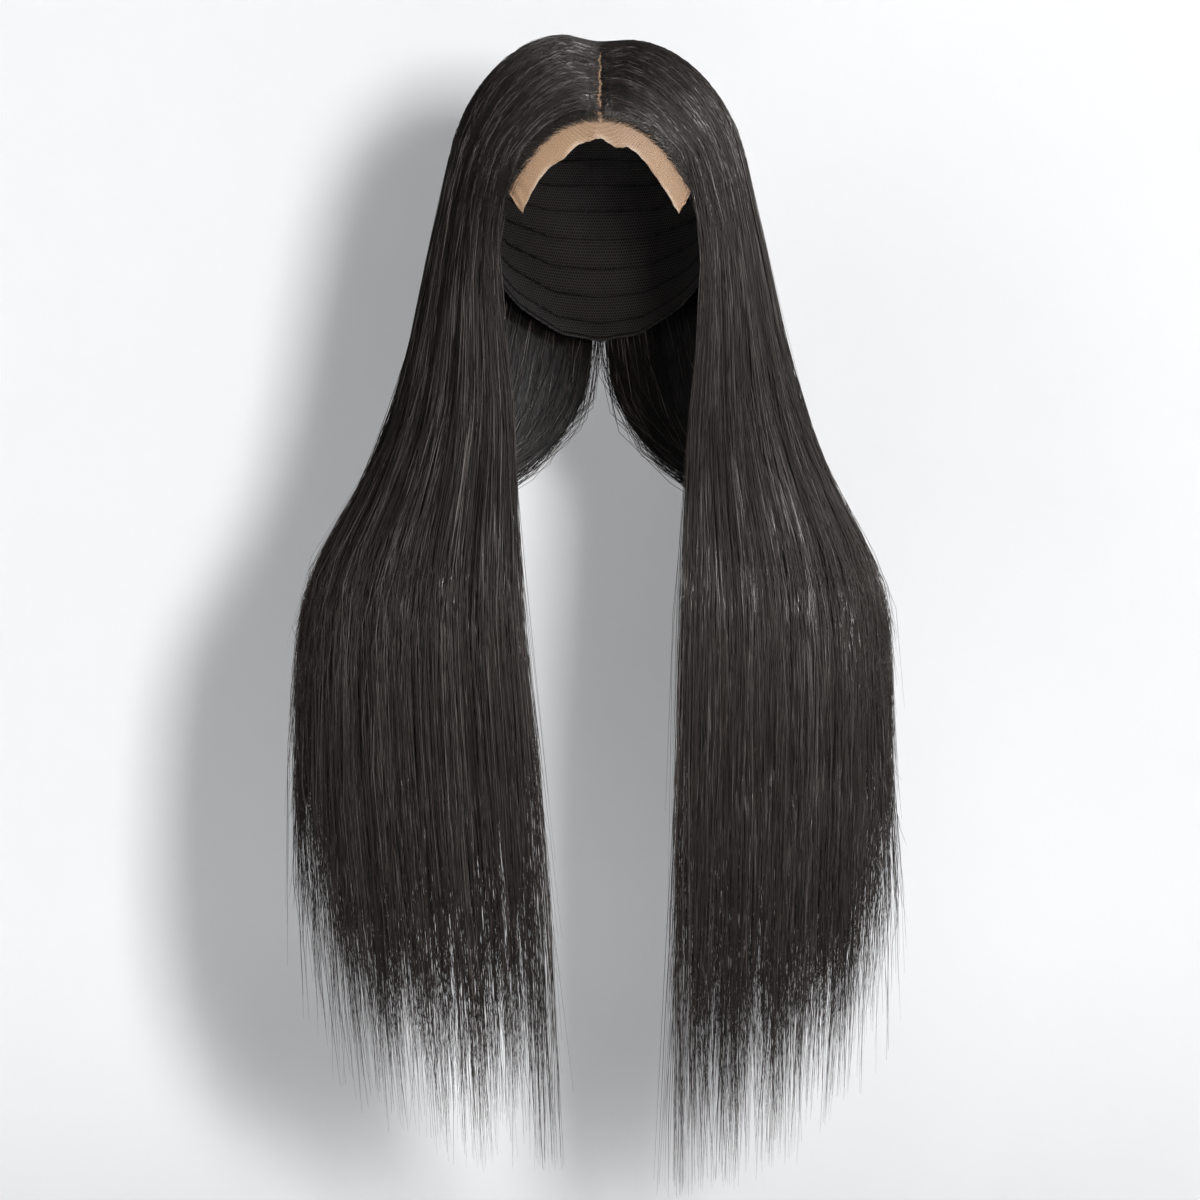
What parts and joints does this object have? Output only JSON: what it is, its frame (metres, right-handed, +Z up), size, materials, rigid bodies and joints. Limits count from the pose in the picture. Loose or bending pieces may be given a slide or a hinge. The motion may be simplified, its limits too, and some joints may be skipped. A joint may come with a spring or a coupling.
{
  "type": "lace closure wig",
  "caption": "Long straight lace closure wig with a centre parting: a sheer lace front and a wefted cap that fit a head, with hair in locks falling forward over both shoulders.",
  "frame": {"origin": "inside of the crown, where the top of the head touches the cap", "axes": "+Z up along the hanging hair, -Y out of the face opening, +X to the right as seen from the front"},
  "size_m": [0.3654, 0.2111, 0.6899],
  "materials": {
    "lace": "sheer fine beige net, matte",
    "cap": "dark stretch net, matte",
    "hair": "natural black straight hair with a soft sheen"
  },
  "bodies": {
    "root": {"lace_closure": "lace", "wefted_cap": "cap", "closure_hair_left": "hair", "closure_hair_right": "hair", "weft_hair_left": "hair", "weft_hair_right": "hair"}
  },
  "joints": []
}
